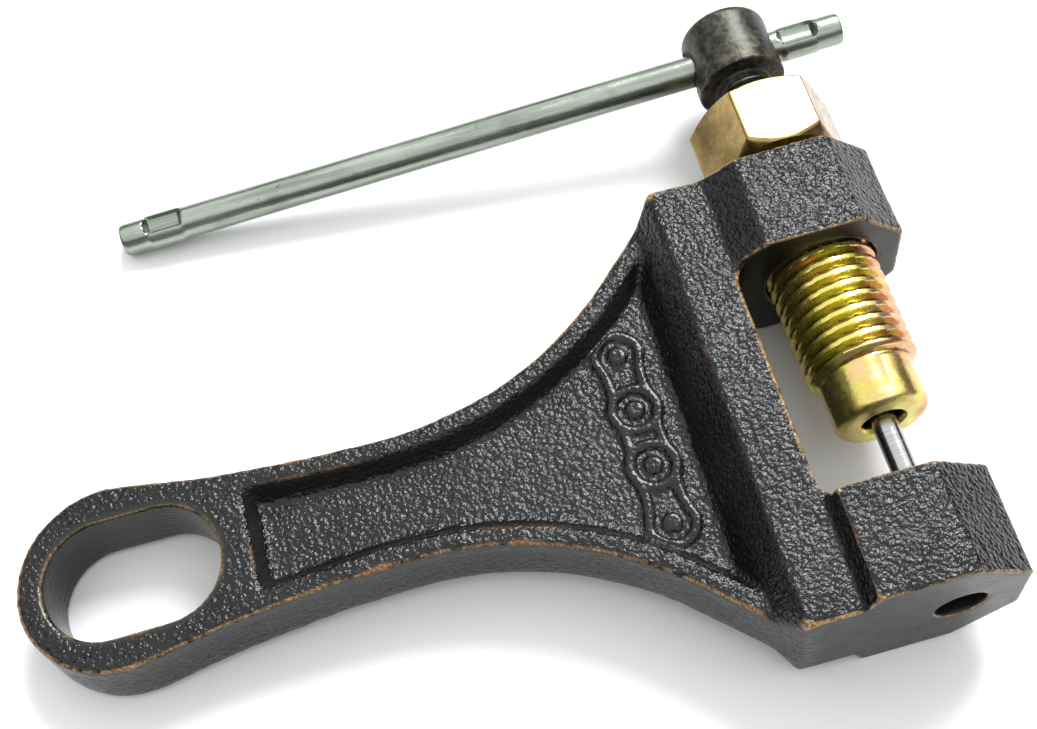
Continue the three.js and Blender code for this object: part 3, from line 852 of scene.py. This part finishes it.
def build_drive_screw():
    low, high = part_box("drive_screw")
    front, top = low.y / MM, high.y / MM
    base = top - HUB_LENGTH_MM
    angles = round_angles(112)
    mesh = skin("drive_screw_blackened", turned_rings(screw_rows(front, base, top, angles), angles))
    screw = add_object("drive_screw_blackened", mesh)
    drilled = drill_cross_bore(screw)
    set_attribute(drilled, "convex", hub_rim_mask(vertex_array(drilled), base, top))
    drilled.materials.clear()
    drilled.materials.append(dark_steel())
    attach(screw, "screw")
    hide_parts("drive_screw")


# ---------------------------------------------------------------- pin and spring


def build_pin():
    low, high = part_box("extractor_pin")
    nose, back = low.y / MM, high.y / MM
    head = back - PIN_HEAD_LENGTH_MM
    guide = nose + GUIDE_START_MM
    angles = round_angles(64)
    rows = [(0.3, nose)] + rounded([
        (0.5, nose),
        (NOSE_MM - 0.45, nose),
        (NOSE_MM, nose + 0.45),
        (NOSE_MM, guide - 1.0),
        (GUIDE_MM, guide),
        (GUIDE_MM, head - 0.3),
        (GUIDE_MM + 0.3, head),
        (PIN_HEAD_MM, head),
        (PIN_HEAD_MM, back),
        (0.5, back),
    ], 0.3)
    mesh = skin("extractor_pin_ground", turned_rings(rows, angles))
    mesh.materials.append(ground_steel())
    pin = add_object("extractor_pin_ground", mesh)
    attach(pin, "pin")
    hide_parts("extractor_pin")


def build_spring():
    """Wire wound between the bolt's shoulder and the pin's head, with closed end coils."""
    low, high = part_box("return_spring")
    start = low.y + SPRING_WIRE_MM * MM
    end = high.y - SPRING_WIRE_MM * MM
    steps = int(SPRING_TURNS * 48)
    t = np.linspace(0, 1, steps + 1)
    turn = t * SPRING_TURNS * 2 * math.pi
    wound = t * SPRING_TURNS
    closed = 0.75
    active = np.clip((wound - closed) / (SPRING_TURNS - 2 * closed), 0, 1)
    dead = 2.1 * SPRING_WIRE_MM * MM
    edge = np.clip(wound / closed, 0, 1) - np.clip((SPRING_TURNS - wound) / closed, 0, 1) + 1
    span = end - start - 2 * dead * closed
    y = start + span * active + dead * closed * edge
    around = round_angles(12)
    rings = np.empty((steps + 1, 12, 3))
    reach = SPRING_MEAN_MM + SPRING_WIRE_MM * np.cos(around)[None, :]
    rings[:, :, 0] = reach * np.sin(turn)[:, None] * MM
    rings[:, :, 1] = y[:, None] + SPRING_WIRE_MM * MM * np.sin(around)[None, :]
    rings[:, :, 2] = reach * np.cos(turn)[:, None] * MM + AXIS_Z
    mesh = skin("return_spring_wire", rings, sharp_angle=60)
    mesh.materials.append(spring_steel())
    spring = add_object("return_spring_wire", mesh)
    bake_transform(spring)
    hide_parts("return_spring")


# ---------------------------------------------------------------- tommy bar


def crimp_share(x):
    """1 along each pressed stretch of the bar and 0 outside it, for x in millimetres."""
    share = np.zeros(len(x))
    half = CRIMP_LENGTH_MM / 2
    inset = BAR_STUB_MM + half
    for middle in (inset - BAR_LONG_MM, BAR_SHORT_MM - inset):
        share = np.maximum(share, 1 - smooth_step(half - 1.0, half, np.abs(x - middle)))
    return share


def build_tommy_bar():
    places = np.concatenate([
        np.arange(-BAR_LONG_MM + 1, -BAR_LONG_MM + 13, 0.2),
        np.arange(-BAR_LONG_MM + 13, BAR_SHORT_MM - 13, 1.2),
        np.arange(BAR_SHORT_MM - 13, BAR_SHORT_MM - 1, 0.2),
    ])
    left = rounded([
        (0.4, -BAR_LONG_MM),
        (BAR_RADIUS_MM - 0.1, -BAR_LONG_MM),
        (BAR_RADIUS_MM, -BAR_LONG_MM + 0.9),
    ], 0.4)
    right = [(radius, BAR_SHORT_MM - (x + BAR_LONG_MM)) for radius, x in reversed(left)]
    rows = left + [(BAR_RADIUS_MM, x) for x in places] + right
    mesh = rod_along_x("tommy_bar_zinc", rows, 120)
    co = vertex_array(mesh) / MM
    x, y, z = co.T
    share = crimp_share(x)
    pressed = 1 - smooth_step(CRIMP_HALF_WIDTH_MM - 0.25, CRIMP_HALF_WIDTH_MM + 0.2, np.abs(y))
    dished = 1 - 0.35 * (y / CRIMP_HALF_WIDTH_MM) ** 2
    floor = BAR_RADIUS_MM - CRIMP_DEPTH_MM * share * pressed * dished
    z = np.clip(z, -floor, floor)
    y = y * (1 + share * CRIMP_WING_MM / BAR_RADIUS_MM)
    co = np.stack([x, y, z], axis=1)
    wobble = 0.03 * value_noise(co, 6.0, 21)
    outward = np.stack([0 * x, y, z], axis=1) / BAR_RADIUS_MM
    store_vertices(mesh, (co + outward * wobble[:, None]) * MM)
    mesh.transform(bar_matrix())
    shade(mesh, 28)
    mesh.materials.append(bright_zinc())
    bar = add_object("tommy_bar_zinc", mesh)
    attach(bar, "bar")
    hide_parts("tommy_bar")
    return bar


# ---------------------------------------------------------------- table, lights and camera


def build_table(pieces):
    """A table that slopes as the tool lies on it: on the anvil's inner edge and the eye's end."""
    eye_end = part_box("tool_frame")[0].x
    run = FOOT_X_MM * MM - eye_end
    slope = math.atan2((HEAD_HALF_MM - RIM_HALF_MM) * MM, run)
    turn = Matrix.Rotation(slope, 4, "Y")
    lowest = min((turn.inverted() @ v.co).z for piece in pieces for v in piece.data.vertices)
    mesh = bpy.data.meshes.new("table")
    work = bmesh.new()
    bmesh.ops.create_grid(work, x_segments=40, y_segments=40, size=3.0)
    work.to_mesh(mesh)
    work.free()
    mesh.transform(turn @ Matrix.Translation((0, 0, lowest)))
    mesh.materials.append(white_table())
    add_object("table", mesh)


def add_lamp(name, coming_from, angle, strength, color):
    """A far lamp whose disc is angle wide, so that it lights the whole table alike."""
    lamp = bpy.data.lights.new(name, "SUN")
    lamp.angle = angle
    lamp.energy = strength
    lamp.color = color
    obj = bpy.data.objects.new(name, lamp)
    obj.location = Vector(coming_from)
    obj.rotation_euler = Vector(coming_from).to_track_quat("Z", "Y").to_euler()
    bpy.context.scene.collection.objects.link(obj)


def build_world():
    """Dim room light, brighter on the near side; the camera itself sees plain white."""
    world = bpy.data.worlds.new("studio")
    world.use_nodes = True
    tree = world.node_tree
    background = tree.nodes["Background"]
    seen = tree.nodes.new("ShaderNodeLightPath").outputs["Is Camera Ray"]
    place = tree.nodes.new("ShaderNodeTexCoord")
    split = tree.nodes.new("ShaderNodeSeparateXYZ")
    tree.links.new(place.outputs["Generated"], split.inputs["Vector"])
    ramp = tree.nodes.new("ShaderNodeMapRange")
    tree.links.new(split.outputs["Y"], ramp.inputs["Value"])
    ramp.inputs["From Min"].default_value = ROOM_NEAR_Y
    ramp.inputs["From Max"].default_value = ROOM_FAR_Y
    ramp.inputs["To Min"].default_value = ROOM_NEAR
    ramp.inputs["To Max"].default_value = ROOM_FAR
    brighter = tree.nodes.new("ShaderNodeMath")
    brighter.operation = "MAXIMUM"
    tree.links.new(ramp.outputs["Result"], brighter.inputs[0])
    tree.links.new(seen, brighter.inputs[1])
    tree.links.new(brighter.outputs[0], background.inputs["Strength"])
    tint = tree.nodes.new("ShaderNodeMix")
    tint.data_type = "RGBA"
    tree.links.new(seen, tint.inputs["Factor"])
    tint.inputs[6].default_value = ROOM_COLOR
    tint.inputs[7].default_value = WHITE
    tree.links.new(tint.outputs[2], background.inputs["Color"])
    bpy.context.scene.world = world


def build_lights():
    add_lamp("window", WINDOW_FROM, WINDOW_ANGLE, WINDOW_STRENGTH, WINDOW_COLOR)
    add_lamp("sky", SKY_FROM, SKY_ANGLE, SKY_STRENGTH, SKY_COLOR)


def build_camera():
    data = bpy.data.cameras.new("camera")
    data.lens = CAMERA_LENS
    data.sensor_width = CAMERA_SENSOR
    data.sensor_fit = "HORIZONTAL"
    data.clip_start = 0.01
    data.clip_end = 20.0
    camera = bpy.data.objects.new("camera", data)
    camera.location = CAMERA_PLACE
    camera.rotation_euler = Euler(CAMERA_TURN, "XYZ")
    bpy.context.scene.collection.objects.link(camera)
    bpy.context.scene.camera = camera


casting = build_casting()
build_press_bolt()
build_drive_screw()
build_pin()
build_spring()
bar = build_tommy_bar()
build_table([casting, bar])
build_world()
build_lights()
build_camera()
bpy.context.scene.view_settings.view_transform = "Standard"
